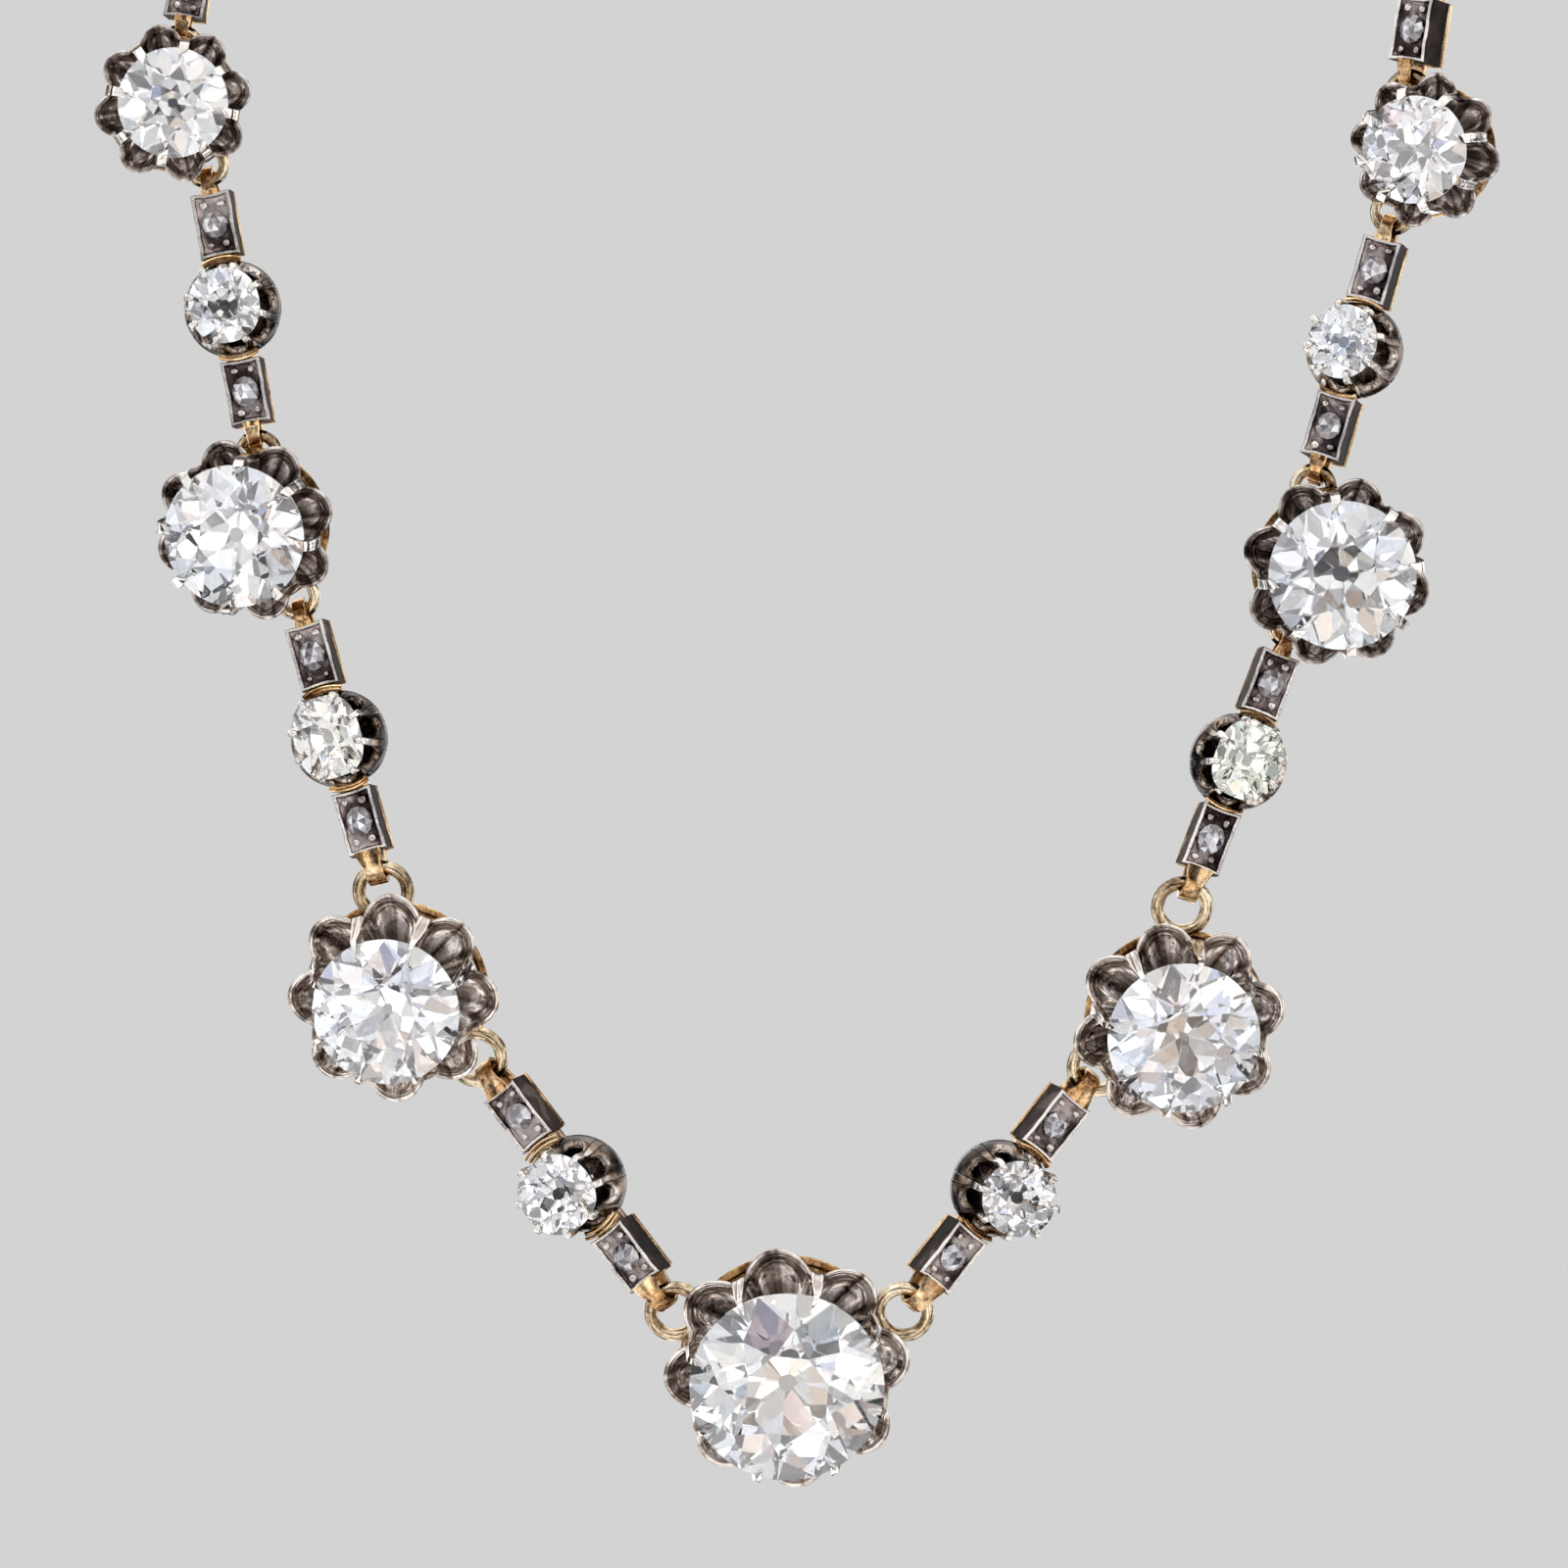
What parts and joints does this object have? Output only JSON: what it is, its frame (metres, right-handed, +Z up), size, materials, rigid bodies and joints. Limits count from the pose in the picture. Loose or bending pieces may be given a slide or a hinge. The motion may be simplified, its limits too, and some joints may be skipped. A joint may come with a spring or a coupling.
{
  "type": "riviere necklace",
  "caption": "Antique riviere necklace with graduated petal clusters holding round old cut stones, joined by set bar links, on a plain oval link back chain with a barrel clasp.",
  "frame": {"origin": "on the front of the clasp at the nape, where the necklace rests on the back of the neck", "axes": "+Z up, the jewelled front faces -Y, +X to the viewer's right"},
  "size_m": [0.1022, 0.0989, 0.1187],
  "materials": {
    "set_metal": "oxidised silver over gold",
    "gold": "satin",
    "stone": "polished"
  },
  "bodies": {
    "root": {"centre_setting": "set_metal", "left_1_setting": "set_metal", "left_2_setting": "set_metal", "left_3_setting": "set_metal", "right_1_setting": "set_metal", "right_2_setting": "set_metal", "right_3_setting": "set_metal", "centre_stone": "stone", "left_1_stone": "stone", "left_2_stone": "stone", "left_3_stone": "stone", "right_1_stone": "stone", "right_2_stone": "stone", "right_3_stone": "stone", "left_link_1": "set_metal", "left_link_2": "set_metal", "left_link_3": "set_metal", "left_link_4": "set_metal", "right_link_1": "set_metal", "right_link_2": "set_metal", "right_link_3": "set_metal", "right_link_4": "set_metal", "left_small_stone_1": "stone", "left_small_stone_2": "stone", "left_small_stone_3": "stone", "left_small_stone_4": "stone", "right_small_stone_1": "stone", "right_small_stone_2": "stone", "right_small_stone_3": "stone", "right_small_stone_4": "stone", "left_roses_1": "stone", "left_roses_2": "stone", "left_roses_3": "stone", "left_roses_4": "stone", "right_roses_1": "stone", "right_roses_2": "stone", "right_roses_3": "stone", "right_roses_4": "stone", "left_back_chain": "gold", "right_back_chain": "gold", "clasp": "gold"}
  },
  "joints": []
}
